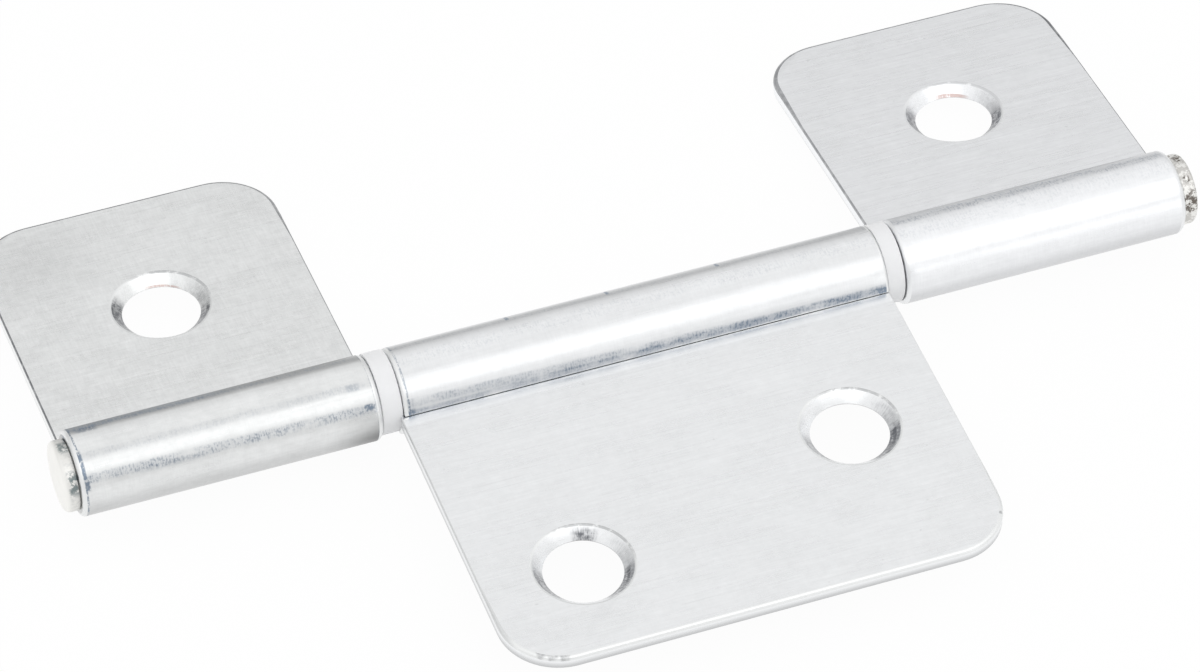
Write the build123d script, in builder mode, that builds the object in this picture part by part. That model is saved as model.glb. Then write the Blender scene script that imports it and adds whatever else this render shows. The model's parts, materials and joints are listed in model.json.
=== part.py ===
from math import atan2, cos, degrees, radians, sin, sqrt
import os

from build123d import *

# Three-leaf hinge: two outer leaves and a centre leaf, each one strip of sheet
# curled into its own knuckle, all on one headed pin with a nylon washer between
# knuckles. Millimetres. X runs along the pin, +Z out of the countersunk faces.
# The origin is the middle of the centre leaf's screw pattern, on its mounting face.

# Sheet and pin
sheet = 0.9               # thickness of all three leaves
pin_diameter = 3.8
pin_clearance = 0.04      # radial, between the pin and a curled knuckle
root_radius = 0.2         # inside of the bend where a leaf swings out into its curl
seam_angle = 9.6          # where the curl's cut end stops, above the leaf's middle plane

# Leaves, with lengths along the pin and reaches out from its axis
overall_length = 76.2
outer_leaf_length = 20.25
outer_leaf_reach = 23.9
centre_leaf_reach = 25.2
leaf_gap = 1.0            # between neighbouring leaves
corner_radius = 4.0
edge_round = 0.2          # rolled-over upper edge left by blanking

# How far each knuckle stands in from the left and the right end of its leaf
left_knuckle_insets = (0.1, 0.1)
centre_knuckle_insets = (0.3, 0.02)
right_knuckle_insets = (0.3, 0.02)
notch_reach = 0.3         # how far past the curl the inset is cut into the leaf
knuckle_edge_bevel = 0.25
end_play = 0.05           # between each knuckle and what it runs against

# Countersunk screw holes
hole_diameter = 5.1
countersink_diameter = 6.6
countersink_angle = 90
outer_hole_reach = 13.1
inner_hole_reach = 12.9   # centre leaf, the hole nearer the pin, on the right
near_hole_reach = 18.2    # centre leaf, the hole nearer the free edge, on the left
centre_hole_offset = 10.05

# Pin ends
head_diameter = 4.7
head_height = 0.9
head_rim_round = 0.35
head_dome = 0.1
rivet_diameter = 4.75
rivet_height = 0.97
rivet_bevel = 0.28
dent_radius = 0.55
dent_depth = 0.12
dent_angles = (20, 75, 118, 171, 236, 290, 338)

# Washers, loose on the pin and pushed over until one side is flush with the knuckles
washer_shortfall = 0.13   # radius less than the knuckle's
washer_bore_clearance = 0.17
washer_drift_angle = 43   # which way they are pushed, from +Y towards +Z
washer_edge_bevel = 0.1

# Leaves as they lie, turned about the pin from the centre leaf's plane
left_tilt = -6.0
right_tilt = -8.5

# Worked out from the sizes above
bore_radius = pin_diameter / 2 + pin_clearance
knuckle_radius = bore_radius + sheet
half_sheet = sheet / 2
half_length = overall_length / 2
centre_leaf_length = overall_length - 2 * (outer_leaf_length + leaf_gap)
outer_leaf_middle = half_length - outer_leaf_length / 2
leaf_inner_end = half_length - outer_leaf_length
centre_leaf_end = centre_leaf_length / 2
axis_y = (inner_hole_reach + near_hole_reach) / 2
axis_z = half_sheet
pin_axis = Axis((0, axis_y, axis_z), (1, 0, 0))


def curl_section():
    """Outline of the strip edge-on: pin axis at the origin, leaf out along the plane's X."""
    bend_y = -half_sheet - root_radius
    bend_x = sqrt((knuckle_radius + root_radius) ** 2 - bend_y**2)
    bend_angle = degrees(atan2(bend_y, bend_x))
    turn = 360 + bend_angle - seam_angle
    seam = Vector(cos(radians(seam_angle)), sin(radians(seam_angle)))
    return (bend_x, bend_y), bend_angle, turn, seam


def rolled_leaf(middle, length, reach, facing, tilt, holes, insets):
    """A leaf and its knuckle; facing is the side of the pin that it lies on, in Y."""
    outward = (0, facing * cos(radians(tilt)), sin(radians(tilt)))
    start = (middle - facing * length / 2, axis_y, axis_z)
    section = Plane(origin=start, x_dir=outward, z_dir=(facing, 0, 0))
    upward = section.y_dir
    top = Plane(
        origin=Vector(middle, axis_y, axis_z) + upward * half_sheet,
        x_dir=(1, 0, 0),
        z_dir=upward,
    )
    bend, bend_angle, turn, seam = curl_section()
    first_inset, last_inset = insets[::facing]

    with BuildPart() as leaf:
        with BuildSketch(section):
            with BuildLine():
                CenterArc((0, 0), knuckle_radius, seam_angle, turn)
                CenterArc(bend, root_radius, 180 + bend_angle, -90 - bend_angle)
                Polyline(
                    (bend[0], -half_sheet),
                    (reach, -half_sheet),
                    (reach, half_sheet),
                    (bend[0], half_sheet),
                )
                CenterArc(bend, root_radius + sheet, 90, 90 + bend_angle)
                CenterArc((0, 0), bore_radius, seam_angle, turn)
                Line(seam * bore_radius, seam * knuckle_radius)
            make_face()
        extrude(amount=length)

        # rounded free corners
        corners = leaf.edges().filter_by(Axis((0, 0, 0), upward)).group_by(
            Axis((0, axis_y, axis_z), outward)
        )[-1]
        fillet(corners, corner_radius)

        # upper edge rolled over by the blanking tool, from one side round to the other
        rim = [
            edge
            for edge in leaf.faces().filter_by(top).sort_by(Axis(top.origin, outward))[-1].edges()
            if top.to_local_coords(edge.center()).Y * facing > bend[0] + edge_round
        ]
        fillet(rim, edge_round)

        # countersunk screw holes
        with Locations(top):
            with Locations(*[(along, facing * away) for along, away in holes]):
                CounterSinkHole(
                    hole_diameter / 2,
                    countersink_diameter / 2,
                    counter_sink_angle=countersink_angle,
                )

        # the knuckle stops short of the leaf's ends
        for end, inset in ((0, first_inset), (length - last_inset, last_inset)):
            with BuildSketch(section.offset(end)):
                Circle(knuckle_radius + notch_reach)
            extrude(amount=inset, mode=Mode.SUBTRACT)

        # deburred outer edges of the curl, from its cut end round to the bend
        seam_direction = section.x_dir * seam.X + section.y_dir * seam.Y
        along_pin = Plane(
            origin=start, x_dir=section.z_dir, z_dir=section.z_dir.cross(seam_direction)
        )
        with BuildSketch(along_pin):
            for end, inward in ((first_inset, 1), (length - last_inset, -1)):
                step = inward * knuckle_edge_bevel
                with BuildLine():
                    Polyline(
                        (end - step, knuckle_radius - 2 * knuckle_edge_bevel),
                        (end + 2 * step, knuckle_radius + knuckle_edge_bevel),
                        (end - step, knuckle_radius + knuckle_edge_bevel),
                        close=True,
                    )
                make_face()
        revolve(axis=Axis(start, section.z_dir), revolution_arc=turn, mode=Mode.SUBTRACT)
    return leaf


# Centre leaf, with two staggered screw holes
centre_leaf = rolled_leaf(
    0,
    centre_leaf_length,
    centre_leaf_reach,
    -1,
    0,
    [(-centre_hole_offset, near_hole_reach), (centre_hole_offset, inner_hole_reach)],
    centre_knuckle_insets,
)
centre_leaf.part.label = "centre_leaf"

# Outer leaves, mirror images with one screw hole each
left_leaf = rolled_leaf(
    -outer_leaf_middle,
    outer_leaf_length,
    outer_leaf_reach,
    1,
    left_tilt,
    [(0, outer_hole_reach)],
    left_knuckle_insets,
)
left_leaf.part.label = "left_leaf"

right_leaf = rolled_leaf(
    outer_leaf_middle,
    outer_leaf_length,
    outer_leaf_reach,
    1,
    right_tilt,
    [(0, outer_hole_reach)],
    right_knuckle_insets,
)
right_leaf.part.label = "right_leaf"

# Pin with a formed head at the left and a riveted end at the right
shank_left = -half_length + left_knuckle_insets[0] - end_play
shank_right = half_length - right_knuckle_insets[1] + end_play
head_face = shank_left - head_height
rim_top = head_diameter / 2 - head_rim_round
rivet_face = shank_right + rivet_height
with BuildPart() as hinge_pin:
    with BuildSketch(Plane(origin=(0, axis_y, axis_z), x_dir=(1, 0, 0), z_dir=(0, -1, 0))):
        with BuildLine():
            Line((head_face - head_dome, 0), (rivet_face, 0))
            ThreePointArc(
                (head_face - head_dome, 0),
                (head_face - 0.75 * head_dome, rim_top / 2),
                (head_face, rim_top),
            )
            RadiusArc(
                (head_face, rim_top), (head_face + head_rim_round, head_diameter / 2), head_rim_round
            )
            Polyline(
                (head_face + head_rim_round, head_diameter / 2),
                (shank_left, head_diameter / 2),
                (shank_left, pin_diameter / 2),
                (shank_right, pin_diameter / 2),
                (shank_right, rivet_diameter / 2),
                (rivet_face - rivet_bevel, rivet_diameter / 2),
                (rivet_face, rivet_diameter / 2 - rivet_bevel),
                (rivet_face, 0),
            )
        make_face()
    revolve(axis=pin_axis)

    # hammer dents round the riveted end
    for angle in dent_angles:
        out = rivet_diameter / 2 + dent_radius - dent_depth
        centre = Vector(
            shank_right + rivet_height / 2,
            axis_y + out * cos(radians(angle)),
            axis_z + out * sin(radians(angle)),
        )
        with Locations(centre):
            Sphere(dent_radius, mode=Mode.SUBTRACT)
hinge_pin.part.label = "hinge_pin"


def washer(left_knuckle_end, right_knuckle_end):
    """Plain nylon washer that fills the space between two knuckles."""
    centre = (
        left_knuckle_end + end_play,
        axis_y + washer_shortfall * cos(radians(washer_drift_angle)),
        axis_z + washer_shortfall * sin(radians(washer_drift_angle)),
    )
    with BuildPart() as ring:
        with BuildSketch(Plane(origin=centre, z_dir=(1, 0, 0))):
            Circle(knuckle_radius - washer_shortfall)
            Circle(pin_diameter / 2 + washer_bore_clearance, mode=Mode.SUBTRACT)
        extrude(amount=right_knuckle_end - left_knuckle_end - 2 * end_play)
        rims = ring.edges().filter_by(GeomType.CIRCLE).group_by(SortBy.RADIUS)[-1]
        chamfer(rims, washer_edge_bevel)
    return ring


left_washer = washer(
    -leaf_inner_end - left_knuckle_insets[1], -centre_leaf_end + centre_knuckle_insets[0]
)
left_washer.part.label = "left_washer"

right_washer = washer(
    centre_leaf_end - centre_knuckle_insets[1], leaf_inner_end + right_knuckle_insets[0]
)
right_washer.part.label = "right_washer"

os.makedirs("parts", exist_ok=True)
export_step(centre_leaf.part, "parts/centre_leaf.step")
export_step(left_leaf.part, "parts/left_leaf.step")
export_step(right_leaf.part, "parts/right_leaf.step")
export_step(hinge_pin.part, "parts/hinge_pin.step")
export_step(left_washer.part, "parts/left_washer.step")
export_step(right_washer.part, "parts/right_washer.step")
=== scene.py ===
import json
from math import atan2, cos, degrees, hypot, pi, radians, sin, sqrt

import bmesh
import bpy
from mathutils import Matrix, Vector


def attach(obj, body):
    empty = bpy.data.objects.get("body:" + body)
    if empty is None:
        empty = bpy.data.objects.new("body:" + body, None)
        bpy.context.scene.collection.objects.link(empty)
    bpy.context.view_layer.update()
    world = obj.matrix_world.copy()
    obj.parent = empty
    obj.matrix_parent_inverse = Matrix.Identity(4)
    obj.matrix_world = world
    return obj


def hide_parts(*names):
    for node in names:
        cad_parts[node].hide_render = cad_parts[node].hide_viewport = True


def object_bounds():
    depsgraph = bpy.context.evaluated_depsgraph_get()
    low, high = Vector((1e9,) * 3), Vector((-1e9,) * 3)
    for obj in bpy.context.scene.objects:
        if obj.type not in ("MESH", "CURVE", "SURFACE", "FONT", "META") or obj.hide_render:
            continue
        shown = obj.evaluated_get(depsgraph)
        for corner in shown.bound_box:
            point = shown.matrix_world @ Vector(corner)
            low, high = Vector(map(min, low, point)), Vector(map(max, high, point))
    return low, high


# Three-leaf hinge, dressed in its finishes. Meshes are worked in millimetres, in the
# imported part's own frame, and brought to metres as their last step.
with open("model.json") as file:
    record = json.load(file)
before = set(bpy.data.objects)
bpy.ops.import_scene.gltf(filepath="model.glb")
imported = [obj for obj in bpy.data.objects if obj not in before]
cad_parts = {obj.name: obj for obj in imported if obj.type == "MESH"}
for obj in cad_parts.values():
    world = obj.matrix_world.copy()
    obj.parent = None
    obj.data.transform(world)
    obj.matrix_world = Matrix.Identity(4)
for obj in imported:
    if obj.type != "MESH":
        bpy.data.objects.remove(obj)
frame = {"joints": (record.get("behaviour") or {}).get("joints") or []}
cad_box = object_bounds()
mm = 0.001
_, pin_y, pin_z = (value / mm for value in frame["joints"][0]["pos_m"])

# Leaves: three pieces of bright zinc-plated strip, lightly brushed along the pin. Each
# is blanked and countersunk flat, then swung down in a short bend and curled round the
# pin, with its cut end stopping just above its own face.
sheet = 0.9
half_sheet = sheet / 2
bore_radius = 1.94
knuckle_radius = bore_radius + sheet
root_radius = 0.2
seam_angle = 9.6
corner_radius = 4.0
hole_radius = 2.55
countersink_radius = 3.3
countersink_depth = countersink_radius - hole_radius

# how finely the arcs are stepped
corner_steps = 18
hole_steps = 72
curl_columns = 28
bend_steps = 10
curl_steps = 96
round_steps = 4

# radii of the edges that blanking and deburring leave
side_round = 0.09
lower_round = 0.06
sink_round = 0.1
hole_round = 0.05
bore_round = 0.1
seam_round = 0.03
widest_round = 0.4

# what counts as a sharp edge, and as lying on a face, at the root or in the bend
sharp_angle = 30
skin_share = 0.1
root_slack = 0.1
bend_slack = 0.02
turn_slack = 1

# middle of the bend, measured from the pin, and how far round it the curl begins
bend_z = -half_sheet - root_radius
bend_y = sqrt((knuckle_radius + root_radius) ** 2 - bend_z**2)
bend_angle = degrees(atan2(bend_z, bend_y))


def blank(length, reach, holes):
    """The flat strip as cut: rounded free corners and countersunk holes, open at its root."""
    leaf = bmesh.new()
    bmesh.ops.create_grid(leaf, x_segments=1, y_segments=1, size=0.5)
    bmesh.ops.scale(leaf, vec=(length, reach - bend_y, 1), verts=leaf.verts)
    bmesh.ops.translate(leaf, vec=(0, (reach + bend_y) / 2, half_sheet), verts=leaf.verts)
    bmesh.ops.bevel(
        leaf,
        geom=[v for v in leaf.verts if v.co.y > reach - sheet],
        offset=corner_radius,
        offset_type="OFFSET",
        segments=corner_steps,
        profile=0.5,
        affect="VERTICES",
        material=-1,
    )
    root = [e for e in leaf.edges if max(v.co.y for v in e.verts) < bend_y + half_sheet]
    bmesh.ops.subdivide_edges(leaf, edges=root, cuts=curl_columns - 1)
    bmesh.ops.delete(leaf, geom=leaf.faces[:], context="FACES_ONLY")
    outline = leaf.edges[:]

    # rims first, then the face between them and the outline
    rims = []
    for along, away in holes:
        ring = bmesh.ops.create_circle(
            leaf,
            segments=hole_steps,
            radius=countersink_radius,
            matrix=Matrix.Translation((along, away, half_sheet)),
        )
        rims.append((Vector((along, away, 0)), ring["verts"]))
    bmesh.ops.triangle_fill(leaf, edges=leaf.edges[:], normal=(0, 0, 1), use_beauty=True)

    # countersunk cone and straight wall of each hole
    for centre, ring in rims:
        rim_edges = [e for e in leaf.edges if e.verts[0] in ring and e.verts[1] in ring]
        for radius, z in (
            (hole_radius, half_sheet - countersink_depth),
            (hole_radius, -half_sheet),
        ):
            pulled = bmesh.ops.extrude_edge_only(leaf, edges=rim_edges)["geom"]
            for v in (g for g in pulled if isinstance(g, bmesh.types.BMVert)):
                outward = (v.co - centre).xy.normalized() * radius
                v.co = (centre.x + outward.x, centre.y + outward.y, z)
            rim_edges = [
                g
                for g in pulled
                if isinstance(g, bmesh.types.BMEdge) and all(v.co.z == z for v in g.verts)
            ]

    # sides of the strip and its lower face
    pulled = bmesh.ops.extrude_edge_only(leaf, edges=outline)["geom"]
    lower = [g for g in pulled if isinstance(g, bmesh.types.BMVert)]
    bmesh.ops.translate(leaf, vec=(0, 0, -sheet), verts=lower)
    open_edges = [e for e in leaf.edges if e.is_boundary]
    bmesh.ops.triangle_fill(leaf, edges=open_edges, normal=(0, 0, -1), use_beauty=True)
    end_wall = [f for f in leaf.faces if max(v.co.y for v in f.verts) < bend_y + root_slack]
    bmesh.ops.delete(leaf, geom=end_wall, context="FACES")
    return leaf


def across_sheet(point):
    """Place through the thickness: 0 on the lower face and knuckle, 1 on the top and bore."""
    if point.y > bend_y - root_slack:
        return (point.z + half_sheet) / sheet
    from_bend = hypot(point.y - bend_y, point.z - bend_z)
    bend_turn = degrees(atan2(point.z - bend_z, point.y - bend_y))
    in_turn = 90 - turn_slack < bend_turn < 180 + bend_angle + turn_slack
    if in_turn and from_bend < root_radius + sheet + bend_slack:
        return (from_bend - root_radius) / sheet
    return (knuckle_radius - hypot(point.y, point.z)) / sheet


def curl(leaf, insets):
    """Swings the open root down round the bend, then round the pin, and closes its end."""
    section = [e for e in leaf.edges if e.is_boundary]
    half_length = max(v.co.x for v in leaf.verts)
    before = set(leaf.verts)
    for centre, turn, steps in (
        ((0, bend_y, bend_z), 90 + bend_angle, bend_steps),
        ((0, 0, 0), -(360 + bend_angle - seam_angle), curl_steps),
    ):
        spun = bmesh.ops.spin(
            leaf,
            geom=section,
            cent=centre,
            axis=(1, 0, 0),
            angle=radians(turn),
            steps=steps,
        )
        section = [g for g in spun["geom_last"] if isinstance(g, bmesh.types.BMEdge)]
    bmesh.ops.edgeloop_fill(leaf, edges=section)

    # the knuckle draws in from the leaf's ends over the length of the bend
    first, last = insets
    for v in leaf.verts:
        if v in before:
            continue
        bend_turn = degrees(atan2(v.co.z - bend_z, v.co.y - bend_y))
        swung = min(1, max(0, (bend_turn - 90) / (90 + bend_angle)))
        if hypot(v.co.y - bend_y, v.co.z - bend_z) > root_radius + sheet + bend_slack:
            swung = 1
        along = (v.co.x + half_length) / (2 * half_length)
        v.co.x += swung * (first * (1 - along) - last * along)
    bmesh.ops.recalc_face_normals(leaf, faces=leaf.faces)


def weigh_edges(leaf, reach, holes, free_round, knuckle_rounds):
    """Gives each sharp edge its rounding, as a share of the widest one."""
    weight = leaf.edges.layers.float.new("bevel_weight_edge")
    for edge in leaf.edges:
        if len(edge.link_faces) < 2 or edge.calc_face_angle() < radians(sharp_angle):
            continue
        middle = (edge.verts[0].co + edge.verts[1].co) / 2
        span = edge.verts[0].co - edge.verts[1].co
        depth = across_sheet(middle)
        on_top = depth > 1 - skin_share
        near_hole = any(
            hypot(middle.x - x, middle.y - y) < countersink_radius + sheet for x, y in holes
        )
        if near_hole:
            radius = sink_round if on_top else hole_round
        elif middle.y > reach - corner_radius and on_top:
            radius = free_round
        elif middle.y > bend_y:
            radius = side_round if on_top else lower_round
        elif abs(span.x) > half_sheet or skin_share < depth < 1 - skin_share:
            radius = seam_round
        elif on_top:
            radius = bore_round
        else:
            radius = knuckle_rounds[middle.x > 0]
        edge[weight] = radius / widest_round


def curled_leaf(
    name, length, reach, middle, facing, tilt, holes, insets, free_round, knuckle_rounds
):
    """One finished leaf; facing is the side of the pin that it lies on, in Y."""
    holes = [(facing * (along - middle), away) for along, away in holes]
    leaf = blank(length, reach, holes)
    curl(leaf, insets[::facing])
    weigh_edges(leaf, reach, holes, free_round, knuckle_rounds[::facing])
    place = Matrix.Translation((middle, pin_y, pin_z)) @ Matrix.Rotation(radians(tilt), 4, "X")
    if facing < 0:
        place = place @ Matrix.Rotation(pi, 4, "Z")
    bmesh.ops.transform(leaf, matrix=place, verts=leaf.verts)
    piece = finished(name, leaf)
    edges = piece.modifiers.new("rounded edges", "BEVEL")
    edges.limit_method = "WEIGHT"
    edges.width = widest_round * mm
    edges.segments = round_steps
    edges.use_clamp_overlap = False
    edges.material = 1
    flats = piece.modifiers.new("true flats", "WEIGHTED_NORMAL")
    flats.keep_sharp = True
    return piece


def finished(name, form):
    """Scales a mesh from millimetres to metres and hangs it in the scene, smooth-shaded."""
    bmesh.ops.scale(form, vec=(mm, mm, mm), verts=form.verts)
    for face in form.faces:
        face.smooth = True
    mesh = bpy.data.meshes.new(name)
    form.to_mesh(mesh)
    form.free()
    piece = bpy.data.objects.new(name, mesh)
    bpy.context.scene.collection.objects.link(piece)
    return piece


class Wire:
    """One socket of a shader; arithmetic on it adds the Math nodes."""

    def __init__(self, tree, socket=None):
        self.tree = tree
        self.socket = socket

    def node(self, kind, settings=None, inputs=None, output=0):
        """Adds a node: settings first, then the values or links of its sockets."""
        made = self.tree.nodes.new(kind)
        for name, value in (settings or {}).items():
            if name == "stops":
                stops = made.color_ramp.elements
                stops[0].position = value[0][0]
                stops[1].position = value[-1][0]
                for position, _ in value[1:-1]:
                    stops.new(position)
                for stop, (_, grey) in zip(stops, value):
                    stop.color = (grey, grey, grey, 1)
            else:
                setattr(made, name, value)
        for name, value in (inputs or {}).items():
            if isinstance(value, Wire):
                self.tree.links.new(value.socket, made.inputs[name])
            else:
                made.inputs[name].default_value = value
        return Wire(self.tree, made.outputs[output])

    def math(self, operation, *values):
        """A Math node; a method call without values works on this wire alone."""
        values = values or (self,)
        settings = {"operation": operation}
        return self.node("ShaderNodeMath", settings, dict(enumerate(values)))

    def __add__(self, other):
        return self.math("ADD", self, other)

    def __radd__(self, other):
        return self.math("ADD", other, self)

    def __sub__(self, other):
        return self.math("SUBTRACT", self, other)

    def __rsub__(self, other):
        return self.math("SUBTRACT", other, self)

    def __mul__(self, other):
        return self.math("MULTIPLY", self, other)

    def __rmul__(self, other):
        return self.math("MULTIPLY", other, self)

    def __truediv__(self, other):
        return self.math("DIVIDE", self, other)

    def xyz(self):
        """The three coordinates of a point."""
        split = self.node("ShaderNodeSeparateXYZ", None, {0: self}).socket.node
        return [Wire(self.tree, split.outputs[axis]) for axis in "XYZ"]

    def within(self, middle, reach):
        """1 at the middle value, easing to 0 at reach on either side of it."""
        return 1 - (self - middle).math("ABSOLUTE").ramp(reach * 0.4, reach)

    def ramp(self, low, high):
        """0 below low, 1 above high, easing between."""
        settings = {"interpolation_type": "SMOOTHSTEP"}
        return self.node("ShaderNodeMapRange", settings, {0: self, 1: low, 2: high})

    def grain(self, x, y, z, detail=2.0, roughness=0.5, seed=0.0):
        """Noise at a point in millimetres, with so many waves to the millimetre each way."""
        stretched = self.node(
            "ShaderNodeVectorMath", {"operation": "MULTIPLY"}, {0: self, 1: (x, y, z)}
        )
        values = {
            "Vector": stretched,
            "W": seed,
            "Scale": 1.0,
            "Detail": detail,
            "Roughness": roughness,
        }
        return self.node("ShaderNodeTexNoise", {"noise_dimensions": "4D"}, values)

    def tint(self, first, second):
        """Mixes two colours, with this value as the share of the second."""
        settings = {"data_type": "RGBA"}
        return self.node("ShaderNodeMix", settings, {0: self, 6: first, 7: second}, output=2)

    def dim(self, colour):
        """Multiplies a colour by this value."""
        settings = {"operation": "SCALE"}
        return self.node("ShaderNodeVectorMath", settings, {0: colour, "Scale": self})

    def at_most(self, most):
        """This value, held under a limit."""
        return self.math("MINIMUM", self, most)

    def into(self, node, name):
        """Links this wire to a socket of a node that is there already."""
        self.tree.links.new(self.socket, node.inputs[name])


def new_finish(name):
    """A new material, its principled shader, and the point on the piece in millimetres."""
    material = bpy.data.materials.new(name)
    material.use_nodes = True
    shader = material.node_tree.nodes["Principled BSDF"]
    start = Wire(material.node_tree)
    metres = start.node("ShaderNodeTexCoord", output="Object")
    settings = {"operation": "SCALE"}
    point = start.node("ShaderNodeVectorMath", settings, {0: metres, "Scale": 1 / mm})
    return material, shader, point


def feed(shader, **inputs):
    """Sets or links the principled shader's sockets, named with underscores."""
    for name, value in inputs.items():
        socket_name = name.replace("_", " ")
        if isinstance(value, Wire):
            value.into(shader, socket_name)
        else:
            shader.inputs[socket_name].default_value = value


# blue-grey of the painted shade and reflection in the knuckle's stripes, and of the specks
speck_and_shade_blue = (0.185, 0.235, 0.305, 1)
# near-black of the painted dark reflections in the countersinks, of painted dark edge lines,
# and of dark spots
shade_and_scuff_dark = (0.08, 0.085, 0.1, 1)
mark_rust = (0.5, 0.36, 0.33, 1)
most_darkened = 0.92
end_line_width = 0.09

# tones of a curl, partly its own and partly painted highlight and shade, are given by the angle
# round the pin, over half a turn from this one
first_tone_angle = -30
tone_angle_span = 180

# directions from a hole's middle: the far wall that has rusted, and the rim that is dark,
# fully so to one angle on either side and not at all past another
rust_angle = 70
dark_rim_angle = 50
rim_dark_to = 25
rim_bright_from = 75


def distance(across, up):
    """Distance from a centre, out of the two offsets from it."""
    return (across * across + up * up).math("SQRT")


def aim(across, up, away, angle):
    """1 in one direction from a centre, falling to -1 in the opposite one."""
    return (across * cos(radians(angle)) + up * sin(radians(angle))) / away


def about_pin(y, z):
    """Distance from the pin's axis, and degrees round it: 0 on the near side, 90 on top."""
    back = y - pin_y
    rise = z - pin_z
    return distance(back, rise), rise.math("ARCTAN2", rise, back * -1) * (180 / pi)


def leaf_height(y, z, tilt):
    """Height of a point over a leaf's middle plane."""
    return (z - pin_z) * cos(radians(tilt)) - (y - pin_y) * sin(radians(tilt))


def strip_grain(point, seed):
    """What rolling and plating left on the strip: coarse and fine brushing, clouds, pits."""
    brushed = point.grain(0.1, 6, 6, detail=3, roughness=0.6, seed=seed)
    fine = point.grain(0.6, 14, 14, detail=2, roughness=0.6, seed=seed + 3)
    cloud = point.grain(0.3, 0.45, 0.45, detail=5, roughness=0.6, seed=seed + 7)
    mottle = point.grain(1.6, 2.2, 2.2, detail=4, roughness=0.7, seed=seed + 8)
    pits = point.grain(2.4, 3.2, 3.2, detail=1, seed=seed + 9).ramp(0.73, 0.78)
    return brushed, fine, cloud, mottle, pits


def flat_tone(point, seed, strip, brushing, hatching, clouding, stain):
    """Tone of the flat leaf, with cross hatching, a few long scratches and any stain."""
    brushed, fine, cloud, mottle, pits = strip
    crossed = point.grain(9, 0.8, 0.8, detail=3, roughness=0.6, seed=seed + 5)
    scratches = point.grain(0.11, 4.5, 4.5, detail=1, seed=seed + 11).ramp(0.7, 0.74)
    tone = (
        1
        + (brushed - 0.5) * brushing
        + (fine - 0.5) * brushing
        + (crossed - 0.5) * hatching
        + (cloud - 0.5) * clouding
        + (mottle - 0.5) * clouding
        - pits * 0.1
        - scratches * 0.07
    )
    if stain:
        stain_x, stain_y, reach, depth = stain
        x, y, _ = point.xyz()
        stained = 1 - distance(x - stain_x, y - stain_y).ramp(0, reach)
        tone = tone - stained * (cloud * 1.2) * depth
    return tone


def curl_tone(x, around, unrolled, seed, strip, clouding, drawn_and_painted_light, painted_end_shade):
    """Tone of the curl round the pin, partly painted highlight and shade, finely streaked from
    drawing.
    """
    cloud, mottle = strip[2:4]
    stops = [((angle - first_tone_angle) / tone_angle_span, grey) for angle, grey in drawn_and_painted_light]
    place = (around - first_tone_angle) / tone_angle_span
    tone = around.node("ShaderNodeValToRGB", {"stops": stops}, {0: place})
    streaked = unrolled.grain(0.08, 5, 1, detail=3, roughness=0.6, seed=seed + 15)
    crossed = unrolled.grain(10, 0.7, 1, detail=2, roughness=0.6, seed=seed + 17)
    drawn_grain = (streaked - 0.5) * 0.12 + (crossed - 0.5) * 0.1
    tone = tone * (1 + drawn_grain + (mottle + cloud - 1) * clouding)
    # painted shade over the low side of one end of the knuckle
    if painted_end_shade:
        shade_from, shade_to, depth = painted_end_shade
        low_side = 1 - around.ramp(-25, 36)
        tone = tone * (1 - x.ramp(shade_from, shade_to) * low_side * depth)
    return tone


def curl_marks_and_shade(x, around, unrolled, seed, bands, marks, end_lines):
    """Speckle on the curl, painted shade and reflection in stripes along the pin, single marks,
    end lines.

    A band has its angle, drift in degrees a millimetre, half width, even painted shade and
    speckle.
    A mark has its place along the pin, angle, half length, half width and depth.
    """
    hatch = unrolled.grain(8, 1.6, 1, detail=3, roughness=0.6, seed=seed + 13)
    grit = unrolled.grain(6, 6, 1, detail=3, roughness=0.6, seed=seed + 14)
    speckle = hatch * 0.5 + grit * 0.5
    patches = unrolled.grain(0.5, 0.9, 1, detail=3, roughness=0.6, seed=seed + 19)
    marks_and_shade = 0
    for angle, drift, width, painted_shade, speckled in bands:
        band = (around - x * drift).within(angle, width)
        specks = speckle.ramp(0.47, 0.58) * speckled + painted_shade
        marks_and_shade = marks_and_shade + band * specks * patches.ramp(0.25, 0.62)
    for place, angle, length, width, depth in marks:
        mark = x.within(place, length) * around.within(angle, width)
        marks_and_shade = marks_and_shade + mark * speckle.ramp(0.38, 0.5) * depth
    for place, depth in end_lines:
        line = x.within(place, end_line_width) * speckle.ramp(0.45, 0.53)
        marks_and_shade = marks_and_shade + line * depth
    return marks_and_shade


def sink_masks(point, seed, sinks):
    """Masks of the countersinks: painted dark reflections in the cone, broken by the tool's
    streaks; the cone; the rusty wall.

    A patch has its direction from the hole, half angle, reach up the cone and depth.
    """
    x, y, _ = point.xyz()
    sink_shade = 0
    in_sink = 0
    rusty = 0
    for (sink_x, sink_y), patches in sinks:
        off_x = x - sink_x
        off_y = y - sink_y
        away = distance(off_x, off_y)
        in_cone = 1 - away.ramp(countersink_radius - 0.05, countersink_radius + 0.03)
        in_sink = in_sink + in_cone
        turn = off_y.math("ARCTAN2", off_y, off_x) * countersink_radius
        unrolled = point.node("ShaderNodeCombineXYZ", None, {0: turn, 1: away})
        streaks = unrolled.grain(1.1, 5, 1, detail=4, roughness=0.65, seed=seed + 21)
        hatched = unrolled.grain(9, 3, 1, detail=3, roughness=0.65, seed=seed + 22)
        streaks = streaks * 0.45 + hatched * 0.55
        torn = 0.4 + streaks.ramp(0.42, 0.58) * 0.6
        # each patch is a painted dark reflection in the cone
        for angle, width, inner, depth in patches:
            ahead = aim(off_x, off_y, away, angle)
            aimed = ahead.ramp(cos(radians(width)), cos(radians(width * 0.1)))
            deep = 1 - away.ramp(hole_radius + inner * 0.4, hole_radius + inner)
            sink_shade = sink_shade + aimed * deep * in_cone * torn * depth
        on_wall = 1 - away.ramp(hole_radius + 0.02, hole_radius + 0.05)
        on_wall = on_wall * aim(off_x, off_y, away, rust_angle).ramp(0.85, 0.98)
        rusty = rusty + on_wall * streaks.ramp(0.35, 0.5)
    return sink_shade, in_sink, rusty


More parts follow.
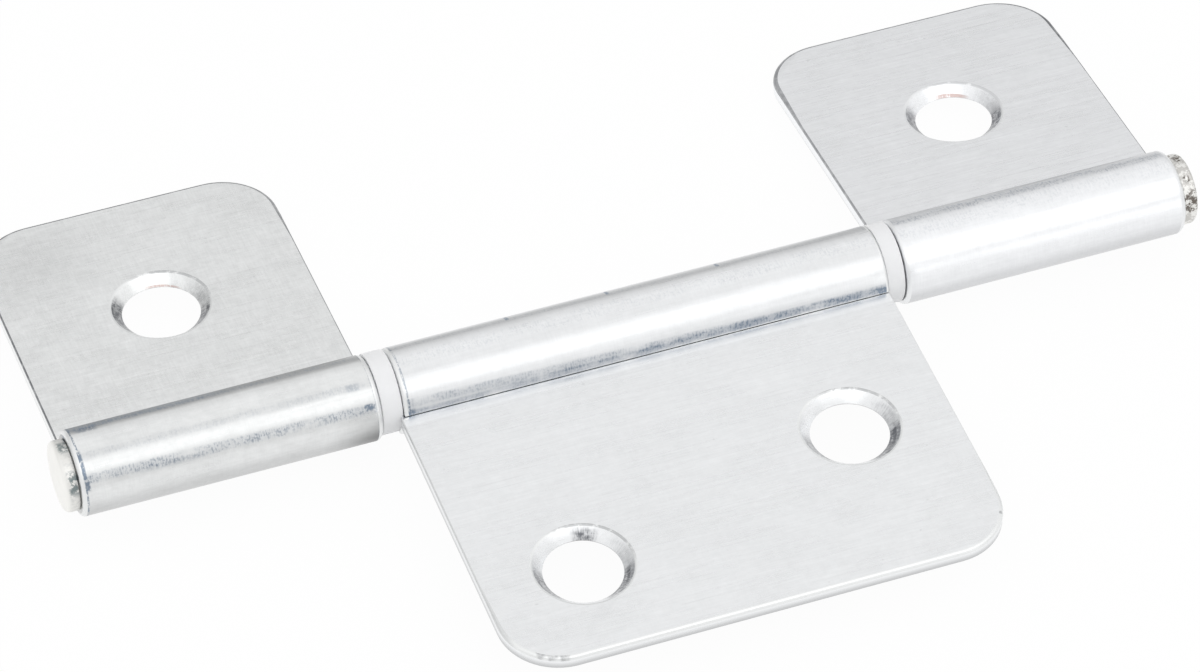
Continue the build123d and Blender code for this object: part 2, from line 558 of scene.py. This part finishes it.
def zinc_sheet(
    name,
    tone,
    seed,
    tilt,
    brushing,
    hatching,
    clouding,
    drawn_and_painted_light,
    bands,
    sinks,
    wall_light_and_shade,
    marks=(),
    end_lines=(),
    stain=None,
    painted_end_shade=None,
):
    """Bright zinc over brushed strip, streaked from drawing round into the knuckle, with
    painted light and shade.

    The curl's tone is given at angles round the pin, partly its own and partly painted
    highlight and shade, and the sheared sides get a painted tone at the bottom and the top.
    """
    material, shader, point = new_finish(name)
    x, y, z = point.xyz()
    out, around = about_pin(y, z)
    height = leaf_height(y, z, tilt)
    round_place = around * (knuckle_radius * pi / 180)
    unrolled = point.node("ShaderNodeCombineXYZ", None, {0: x, 1: round_place})
    strip = strip_grain(point, seed)
    brushed, fine, cloud, _, pits = strip

    # flat leaf, with a painted highlight just in front of the seam, where the edge curled under
    # it would throw light
    shade = flat_tone(point, seed, strip, brushing, hatching, clouding, stain)
    glint = out.within(knuckle_radius + 0.12, 0.16) * 0.22
    glint = glint + out.within(knuckle_radius + 0.5, 0.4) * 0.1
    shade = shade + glint * height.ramp(half_sheet - 0.05, half_sheet - 0.01)

    # sheared walls of the strip, in a painted tone: darker towards the bottom and brighter at
    # the top on the centre leaf, brightened all over on the outer leaves
    sink_shade, in_sink, rusty = sink_masks(point, seed, sinks)
    wall = 1 - height.math("ABSOLUTE").ramp(half_sheet - 0.05, half_sheet - 0.02)
    wall = wall * (1 - in_sink)
    wall_low, wall_high = wall_light_and_shade
    painted_wall_tone = wall_low + height.ramp(-half_sheet, half_sheet * 0.7) * (wall_high - wall_low)
    shade = shade + wall * (painted_wall_tone - shade)

    # the knuckle takes over from both
    curled = 1 - out.ramp(knuckle_radius + 0.02, knuckle_radius + 0.1)
    round_shade = curl_tone(x, around, unrolled, seed, strip, clouding, drawn_and_painted_light, painted_end_shade)
    shade = shade + curled * (round_shade - shade)
    marks_and_shade = curled * curl_marks_and_shade(x, around, unrolled, seed, bands, marks, end_lines)

    # the curl's specks and its stripes of painted shade and reflection tint the zinc blue-grey
    colour = marks_and_shade.at_most(most_darkened).tint(shade.dim(tone), speck_and_shade_blue)
    # painted dark reflections in the countersinks
    colour = sink_shade.at_most(0.9).tint(colour, shade_and_scuff_dark)
    colour = (rusty * 0.8).tint(colour, mark_rust)
    relief = brushed + fine * 0.5 - pits
    bump = {"Strength": 0.3, "Distance": 0.004 * mm, "Height": relief}
    feed(
        shader,
        Base_Color=colour,
        Metallic=1.0,
        Roughness=0.3 + (brushed - 0.5) * 0.25 + (cloud - 0.5) * 0.15 + curled * 0.02,
        Normal=relief.node("ShaderNodeBump", None, bump),
    )
    return material


def rolled_edge(name, tone, seed, tilt, ends, painted_edge_shade, rims, spots=()):
    """The same zinc on sheared and rolled edges: painted dark lines along the outer edges, none
    on the knuckle.

    The painted dark lines are given for the left, free and right edges, and then the lower one.
    A spot has its place in x and y, reach and depth.
    """
    material, shader, point = new_finish(name)
    x, y, z = point.xyz()
    out = distance(y - pin_y, z - pin_z)
    curled = 1 - out.ramp(knuckle_radius + 0.02, knuckle_radius + 0.2)
    above = leaf_height(y, z, tilt).ramp(-0.05, 0.05)
    broken = point.grain(1.2, 1.2, 1.2, detail=4, roughness=0.7, seed=seed).ramp(0.25, 0.6)

    # painted dark lines along the outer edges, each side with its own depth
    left_end, right_end = ends
    dark_left, dark_free, dark_right, dark_below = painted_edge_shade
    at_left = 1 - x.ramp(left_end + 0.3, left_end + 0.6)
    at_right = x.ramp(right_end - 3, right_end - 1.5)
    dark = at_left * dark_left + at_right * dark_right + (1 - at_left - at_right) * dark_free
    dark = above * dark + (1 - above) * dark_below
    dark = dark * (1 - curled) * (0.55 + broken * 0.45)

    # rims of the countersinks, and single dark spots
    for (rim_x, rim_y), depth in rims:
        off_x = x - rim_x
        off_y = y - rim_y
        away = distance(off_x, off_y)
        elsewhere = away.ramp(countersink_radius + 0.4, countersink_radius + 0.5)
        far_side = aim(off_x, off_y, away, dark_rim_angle)
        on_far_rim = far_side.ramp(cos(radians(rim_bright_from)), cos(radians(rim_dark_to)))
        on_far_rim = on_far_rim * broken.ramp(0.3, 0.9)
        dark = dark * elsewhere + (1 - elsewhere) * on_far_rim * depth
    for spot_x, spot_y, reach, depth in spots:
        spot = x.within(spot_x, reach) * y.within(spot_y, reach)
        dark = dark + spot * broken * depth * above
    feed(
        shader,
        Base_Color=dark.at_most(most_darkened).tint((*tone, 1), shade_and_scuff_dark),
        Metallic=1.0,
        Roughness=0.34 + broken * 0.08,
    )
    return material


def dress_leaf(leaf, body, node, face_finish, edge_finish):
    """Puts both finishes on a leaf and hangs it on its body."""
    leaf.data.materials.append(face_finish)
    leaf.data.materials.append(edge_finish)
    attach(leaf, body)
    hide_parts(node)


# Centre leaf: the widest strip, nearest the viewer, curled into the long middle knuckle
# that holds the pin. Its two holes are staggered. Angles of the marks are round the pin.
centre_length = 33.7
centre_reach = 25.2
near_hole = (-10.05, 18.2)
inner_hole = (10.05, 12.9)
near_sink = (near_hole[0], pin_y - near_hole[1])
inner_sink = (inner_hole[0], pin_y - inner_hole[1])

centre_leaf = curled_leaf(
    "centre_leaf_sheet",
    length=centre_length,
    reach=centre_reach,
    middle=0,
    facing=-1,
    tilt=0,
    holes=[near_hole, inner_hole],
    insets=(0.3, 0.02),
    free_round=0.26,
    knuckle_rounds=(0.25, 0.2),
)
centre_zinc = zinc_sheet(
    "centre leaf zinc",
    tone=(0.837, 0.847, 0.857),
    seed=1.0,
    tilt=0,
    brushing=0.12,
    hatching=0.05,
    clouding=0.14,
    drawn_and_painted_light=[(-30, 0.9), (8, 0.95), (12, 0.82), (18, 0.9), (26, 0.94), (34, 1.02), (42, 1.04),
           (52, 0.9), (60, 0.87), (67, 0.9), (90, 1.05), (104, 1.05), (109, 0.97),
           (114, 0.74), (120, 0.64), (126, 0.74), (135, 0.95), (150, 0.9)],
    bands=[(15, 0.2, 8, 0.36, 0.22), (21, -0.4, 8, 0.24, 0.32), (116, 0, 6, 0, 0.25),
           (88, 0, 14, 0, 0.15)],
    marks=[(-8.2, 123, 0.16, 10, 0.9), (-1.3, 123, 0.16, 10, 0.9), (6.3, 123, 0.16, 10, 0.9),
           (-16.2, 14, 0.5, 8, 0.5), (16.4, 14, 0.5, 6, 0.5)],
    end_lines=[(-16.2, 0.6)],
    sinks=[
        (near_sink, [(196, 38, 1.1, 0.9), (314, 40, 1.1, 1.0), (69, 20, 0.8, 0.9),
                     (5, 40, 0.9, 0.25)]),
        (inner_sink, [(200, 36, 0.95, 0.8), (314, 44, 1.1, 1.2), (5, 40, 0.9, 0.4)]),
    ],
    wall_light_and_shade=(0.66, 1.12),
)
centre_edges = rolled_edge(
    "centre leaf edges",
    tone=(0.84, 0.85, 0.85),
    seed=2.0,
    tilt=0,
    ends=(-centre_length / 2, centre_length / 2),
    painted_edge_shade=(0.15, 0.0, 0.0, 0.3),
    rims=[(near_sink, 0.4), (inner_sink, 0.4)],
    spots=[(-15, -8.65, 0.4, 0.5), (-14.4, -9.0, 0.4, 0.65), (-13.7, -9.3, 0.4, 0.5),
           (16.3, -7.3, 0.15, 0.5)],
)
dress_leaf(centre_leaf, "centre_body", "centre_leaf", centre_zinc, centre_edges)

# Left leaf: the darker of the two outer strips, more marked by handling, with its short
# knuckle between the pin's head and the left washer. It hangs a little below level.
outer_length = 20.25
outer_reach = 23.9
outer_middle = 27.975
outer_hole = 13.1
left_tilt = -6.0
left_sink = (-outer_middle, pin_y + outer_hole)

left_leaf = curled_leaf(
    "left_leaf_sheet",
    length=outer_length,
    reach=outer_reach,
    middle=-outer_middle,
    facing=1,
    tilt=left_tilt,
    holes=[(-outer_middle, outer_hole)],
    insets=(0.1, 0.1),
    free_round=0.25,
    knuckle_rounds=(0.25, 0.35),
)
left_zinc = zinc_sheet(
    "left leaf zinc",
    tone=(0.81, 0.82, 0.82),
    seed=11.0,
    tilt=left_tilt,
    brushing=0.16,
    hatching=0.22,
    clouding=0.26,
    drawn_and_painted_light=[(-25, 0.7), (-8, 0.79), (5, 0.93), (18, 0.97), (26, 0.94), (35, 1.0), (42, 0.9),
           (52, 0.88), (60, 0.86), (67, 0.85), (76, 0.94), (90, 1.02), (104, 1.05),
           (110, 0.75), (117, 0.5), (135, 0.53), (150, 0.6)],
    bands=[(31, -0.15, 8.5, 0.2, 0.55), (67, 0, 7, 0.06, 0.18), (118, 0, 8, 0.05, 0.45)],
    # the long mark over the top of the knuckle is speckled painted shade along its dark top
    # line
    marks=[(-18.8, 36, 0.35, 6, 0.9), (-19.5, 66, 0.6, 7, 0.3), (-37.55, 27, 0.2, 8, 0.9),
           (-37.62, 55, 0.16, 26, 0.9), (-36.6, 112, 0.9, 9, 0.6), (-35, 124, 11, 15, 0.42),
           (-32, 31, 3, 6, 0.2)],
    end_lines=[(-37.68, 0.8), (-18.3, 0.25)],
    sinks=[(left_sink, [(184, 48, 1.2, 1.2), (314, 40, 1.1, 1.2), (5, 40, 0.9, 0.3)])],
    stain=(-35, 35.5, 6, 0.14),
    wall_light_and_shade=(1.08, 1.1),
    painted_end_shade=(-22.2, -17.4, 0.75),
)
left_edges = rolled_edge(
    "left leaf edges",
    tone=(0.83, 0.84, 0.84),
    seed=12.0,
    tilt=left_tilt,
    ends=(-outer_middle - outer_length / 2, -outer_middle + outer_length / 2),
    painted_edge_shade=(0.82, 0.75, 0.6, 0.2),
    rims=[(left_sink, 0.4)],
)
dress_leaf(left_leaf, "left_body", "left_leaf", left_zinc, left_edges)

# Right leaf: the same strip at the other end, cleaner and brighter, with its knuckle
# between the right washer and the riveted end of the pin. It hangs lower than the left.
right_tilt = -8.5
right_sink = (outer_middle, pin_y + outer_hole)

right_leaf = curled_leaf(
    "right_leaf_sheet",
    length=outer_length,
    reach=outer_reach,
    middle=outer_middle,
    facing=1,
    tilt=right_tilt,
    holes=[(outer_middle, outer_hole)],
    insets=(0.3, 0.02),
    free_round=0.3,
    knuckle_rounds=(0.25, 0.4),
)
right_zinc = zinc_sheet(
    "right leaf zinc",
    tone=(0.86, 0.87, 0.885),
    seed=21.0,
    tilt=right_tilt,
    brushing=0.18,
    hatching=0.04,
    clouding=0.14,
    drawn_and_painted_light=[(-25, 0.74), (-12, 0.79), (2, 0.95), (20, 1.04), (32, 1.07), (42, 1.06),
           (52, 1.0), (70, 1.0), (84, 1.03), (96, 1.06), (108, 1.03), (114, 0.88),
           (122, 0.74), (135, 0.74), (150, 0.82)],
    bands=[(112, 0, 12, 0.12, 0.45), (88, 0, 18, 0, 0.15)],
    sinks=[(right_sink, [(186, 44, 1.1, 1.1), (314, 42, 1.1, 1.1), (5, 40, 0.9, 0.25)])],
    wall_light_and_shade=(1.08, 1.1),
)
right_edges = rolled_edge(
    "right leaf edges",
    tone=(0.86, 0.87, 0.88),
    seed=22.0,
    tilt=right_tilt,
    ends=(outer_middle - outer_length / 2, outer_middle + outer_length / 2),
    painted_edge_shade=(0.62, 0.65, 0.85, 0.15),
    rims=[(right_sink, 0.25)],
)
dress_leaf(right_leaf, "right_body", "right_leaf", right_zinc, right_edges)

# Pin: one plated steel rod through all three knuckles, with a formed head at the left
# and its right end riveted over by hammer once the leaves and washers are on.
pin_radius = 1.9
shank_left = -38.05
shank_right = 38.13
head_radius = 2.35
head_height = 0.9
head_round = 0.35
head_dome = 0.1
head_back_round = 0.06
rivet_radius = 2.375
rivet_height = 0.97
rivet_round = 0.28
dent_radius = 0.55
dent_depth = 0.12
dent_angles = (20, 75, 118, 171, 236, 290, 338)
pin_steps = 144
dome_steps = 8
rivet_side_steps = 9
rivet_face_steps = 6


def turned(profile, segments):
    """A closed solid turned about the pin from an outline of (x, radius) points."""
    form = bmesh.new()
    points = [form.verts.new((x, 0, radius)) for x, radius in profile]
    line = [form.edges.new(pair) for pair in zip(points, points[1:])]
    bmesh.ops.spin(
        form,
        geom=points + line,
        cent=(0, 0, 0),
        axis=(1, 0, 0),
        angle=2 * pi,
        steps=segments,
        use_merge=True,
    )
    bmesh.ops.remove_doubles(form, verts=form.verts, dist=1e-4)
    bmesh.ops.recalc_face_normals(form, faces=form.faces)
    return form


# outline of the pin, from the middle of the head to the middle of the riveted face
head_face = shank_left - head_height
rim_top = head_radius - head_round
rivet_face = shank_right + rivet_height
bevel_top = rivet_radius - rivet_round
dome = [
    (head_face - head_dome * (1 - (step / dome_steps) ** 2), rim_top * step / dome_steps)
    for step in range(dome_steps + 1)
]
head_rim = [
    (
        head_face + head_round * (1 - cos(radians(a))),
        head_radius - head_round * (1 - sin(radians(a))),
    )
    for a in range(15, 91, 15)
]
head_back = [
    (shank_left - head_back_round, head_radius),
    (shank_left - head_back_round / 3, head_radius - head_back_round / 3),
    (shank_left, head_radius - head_back_round),
]
shank = [(shank_left, pin_radius), (shank_right, pin_radius)]
rivet_side = [
    (shank_right + (rivet_height - rivet_round) * step / rivet_side_steps, rivet_radius)
    for step in range(rivet_side_steps + 1)
]
rivet_bevel = [
    (
        rivet_face - rivet_round * (1 - sin(radians(a))),
        rivet_radius - rivet_round * (1 - cos(radians(a))),
    )
    for a in (22, 45, 68)
]
rivet_front = [
    (rivet_face, bevel_top * (rivet_face_steps - step) / rivet_face_steps)
    for step in range(rivet_face_steps + 1)
]
pin = turned(
    dome + head_rim + head_back + shank + rivet_side + rivet_bevel + rivet_front, pin_steps
)

# hammer dents round the riveted end
for angle in dent_angles:
    out = rivet_radius + dent_radius - dent_depth
    ball = Vector(
        (shank_right + rivet_height / 2, out * cos(radians(angle)), out * sin(radians(angle)))
    )
    for v in pin.verts:
        gap = v.co - ball
        if gap.length < dent_radius:
            v.co = ball + gap.normalized() * dent_radius
bmesh.ops.translate(pin, vec=(0, pin_y, pin_z), verts=pin.verts)
hinge_pin = finished("hinge_pin_steel", pin)


def plated_pin():
    """Warm, bright plated steel, worn dark in specks where the ends were hammered, with painted
    shade and highlight on its ends.
    """
    material, shader, point = new_finish("pin steel")
    x, y, z = point.xyz()
    out, around = about_pin(y, z)
    specks = point.grain(2.6, 3.2, 3.2, detail=5, roughness=0.7, seed=4.0)
    cloud = point.grain(0.9, 0.9, 0.9, detail=3, seed=6.0)

    # the head: painted shade a little darker on its side, and a painted highlight on its face
    past_shank = 1 - x.ramp(shank_left, shank_left + 0.3)
    at_head = past_shank * x.ramp(head_face + 0.15, head_face + 0.4)
    painted_face_light = 1 - x.ramp(head_face + 0.05, head_face + 0.3)
    shade = (0.98 + (cloud - 0.5) * 0.14) * (1 - at_head * 0.06 + painted_face_light * 0.1)

    # the riveted end: specks from striking, thickest towards the viewer, and speckled painted
    # shade in the dents
    at_rivet = x.ramp(shank_right - 0.1, shank_right + 0.05)
    struck_most = 0.35 + around.within(26, 24) * 0.65 + around.within(118, 18) * 0.5
    struck_and_dent_shade = specks.ramp(0.46, 0.53) * at_rivet * struck_most
    on_side = at_rivet * (1 - x.ramp(rivet_face - rivet_round - 0.06, rivet_face - rivet_round))
    dent_shade = (1 - out.ramp(rivet_radius - 0.1, rivet_radius - 0.01)) * on_side
    struck_and_dent_shade = struck_and_dent_shade + dent_shade * specks.ramp(0.4, 0.52)
    scuffed_most = 0.15 + around.within(32, 26) * 0.85 + around.within(98, 16) * 0.75
    scuffed = specks.ramp(0.45, 0.54) * at_head * scuffed_most

    colour = shade.dim((0.86, 0.855, 0.83))
    colour = (struck_and_dent_shade.at_most(1) * 0.92).tint(colour, (0.11, 0.09, 0.075, 1))
    colour = (scuffed * 0.8).tint(colour, (0.1, 0.15, 0.16, 1))
    bump = {"Strength": 0.4, "Distance": 0.01 * mm, "Height": specks}
    feed(
        shader,
        Base_Color=colour,
        Metallic=1.0,
        Roughness=0.46 + (cloud - 0.5) * 0.2,
        Normal=specks.node("ShaderNodeBump", None, bump),
    )
    return material


hinge_pin.data.materials.append(plated_pin())
hinge_pin.modifiers.new("true flats", "WEIGHTED_NORMAL")
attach(hinge_pin, "centre_body")
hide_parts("hinge_pin")

# Washers: two plain white nylon rings, moulded, loose on the pin between the knuckles
# and pushed over until one side is flush with them.
washer_radius = 2.71
washer_bore = 2.07
washer_drift = 0.13
washer_drift_angle = 43
washer_round = 0.07
washer_steps = 120
left_washer_span = (-17.94, -16.59)
right_washer_span = (16.85, 18.06)


def white_nylon():
    """Milky white nylon with a soft skin and faint moulding cloud."""
    material, shader, point = new_finish("white nylon")
    cloud = point.grain(0.7, 0.9, 0.9, detail=3, seed=2.0)
    shade = 1 + (cloud - 0.5) * 0.06
    feed(
        shader,
        Base_Color=shade.dim((0.8, 0.805, 0.815)),
        Roughness=0.38 + (cloud - 0.5) * 0.15,
        Subsurface_Weight=0.4,
        Subsurface_Radius=(0.6, 0.6, 0.6),
        Subsurface_Scale=0.8 * mm,
    )
    return material


def washer(name, node, span, finish):
    """One ring, turned between its two faces."""
    left, right = span
    turns = [radians(a) for a in (0, 30, 60, 90)]
    rim = [
        (washer_round * (1 - cos(turn)), washer_radius - washer_round * (1 - sin(turn)))
        for turn in turns
    ]
    ring = turned(
        [(left, washer_bore)]
        + [(left + inward, radius) for inward, radius in rim]
        + [(right - inward, radius) for inward, radius in reversed(rim)]
        + [(right, washer_bore), (left, washer_bore)],
        washer_steps,
    )
    drift = radians(washer_drift_angle)
    move = (0, pin_y + washer_drift * cos(drift), pin_z + washer_drift * sin(drift))
    bmesh.ops.translate(ring, vec=move, verts=ring.verts)
    piece = finished(name, ring)
    piece.modifiers.new("true flats", "WEIGHTED_NORMAL")
    piece.data.materials.append(finish)
    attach(piece, "centre_body")
    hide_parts(node)


nylon = white_nylon()
washer("left_washer_ring", "left_washer", left_washer_span, nylon)
washer("right_washer_ring", "right_washer", right_washer_span, nylon)

# Floor: a wide white sheet at the height of the hinge's lowest edge, lit up for the
# camera and for mirrored rays, with a little of the hinge's shadow left on it.
floor_size = 3000
floor_glow = 0.95
floor_form = bmesh.new()
bmesh.ops.create_grid(floor_form, x_segments=4, y_segments=4, size=floor_size)
bmesh.ops.translate(floor_form, vec=(0, 0, cad_box[0][2] / mm), verts=floor_form.verts)
floor = finished("floor", floor_form)


def white_floor():
    """Matt white, seen as an even glow."""
    material = bpy.data.materials.new("white floor")
    material.use_nodes = True
    tree = material.node_tree
    tree.nodes.remove(tree.nodes["Principled BSDF"])
    start = Wire(tree)
    seen = start.node("ShaderNodeLightPath", output="Is Camera Ray")
    seen = seen + start.node("ShaderNodeLightPath", output="Is Glossy Ray")
    seen = seen + start.node("ShaderNodeLightPath", output="Is Transmission Ray")
    paint = start.node("ShaderNodeBsdfDiffuse", None, {"Color": (0.9, 0.9, 0.9, 1)})
    glow = start.node("ShaderNodeEmission", None, {"Color": (1, 1, 1, 1), "Strength": 1.0})
    mixed = start.node("ShaderNodeMixShader", None, {0: seen * floor_glow, 1: paint, 2: glow})
    mixed.into(tree.nodes["Material Output"], "Surface")
    return material


floor.data.materials.append(white_floor())

# Room: pale all round, a little darker behind the camera and falling off towards the far
# horizon. Places on its arc run from 0 at the near horizon over the top to 1 at the far.
room_arc = [(0.0, 0.75), (0.3, 1.05), (0.55, 1.05), (0.78, 0.92), (1.0, 0.5)]
room = bpy.data.worlds.new("pale room")
bpy.context.scene.world = room
room.use_nodes = True
heading = Wire(room.node_tree).node("ShaderNodeTexCoord", output="Generated")
_, far, up = heading.xyz()
arc = far.math("ARCTAN2", up, far * -1) / pi
background = room.node_tree.nodes["Background"]
arc.node("ShaderNodeValToRGB", {"stops": room_arc}, {0: arc}).into(background, "Color")
background.inputs["Strength"].default_value = 1.0


# Lamps: a long softbox over the near side, and a small, weak panel low beside it.
def softbox(name, width, height, watts, aside, rise, away):
    """A soft panel over the near side, facing the hinge; angles in degrees."""
    panel = bpy.data.lights.new(name, "AREA")
    panel.shape = "RECTANGLE"
    panel.size = width
    panel.size_y = height
    panel.energy = watts
    lamp = bpy.data.objects.new(name, panel)
    bpy.context.scene.collection.objects.link(lamp)
    lamp.visible_camera = False
    lamp.matrix_world = (
        Matrix.Rotation(radians(aside), 4, "Z")
        @ Matrix.Rotation(radians(90 - rise), 4, "X")
        @ Matrix.Translation((0, 0, away))
    )


softbox("overhead softbox", width=0.9, height=0.4, watts=0.5, aside=10, rise=56, away=0.6)
softbox("side panel", width=0.2, height=0.15, watts=0.06, aside=30, rise=10, away=0.5)

# Camera: a long lens from the near left, tipped to look down on the hinge. Its angles
# are in radians, and its distance and slide in metres.
camera_data = bpy.data.cameras.new("camera")
camera_data.sensor_width = 36
camera_data.lens = 186.6014
camera_azimuth = -0.369276
camera_elevation = 0.820114
camera_roll = 0.024198
camera_distance = 0.403695
camera_slide = (-0.0021197, -0.0004217)
camera = bpy.data.objects.new("camera", camera_data)
bpy.context.scene.collection.objects.link(camera)
camera.matrix_world = (
    Matrix.Translation((0, pin_y * mm, pin_z * mm))
    @ Matrix.Rotation(camera_azimuth, 4, "Z")
    @ Matrix.Rotation(pi / 2 - camera_elevation, 4, "X")
    @ Matrix.Rotation(camera_roll, 4, "Z")
    @ Matrix.Translation((*camera_slide, camera_distance))
)
bpy.context.scene.camera = camera
bpy.context.scene.view_settings.view_transform = "Standard"
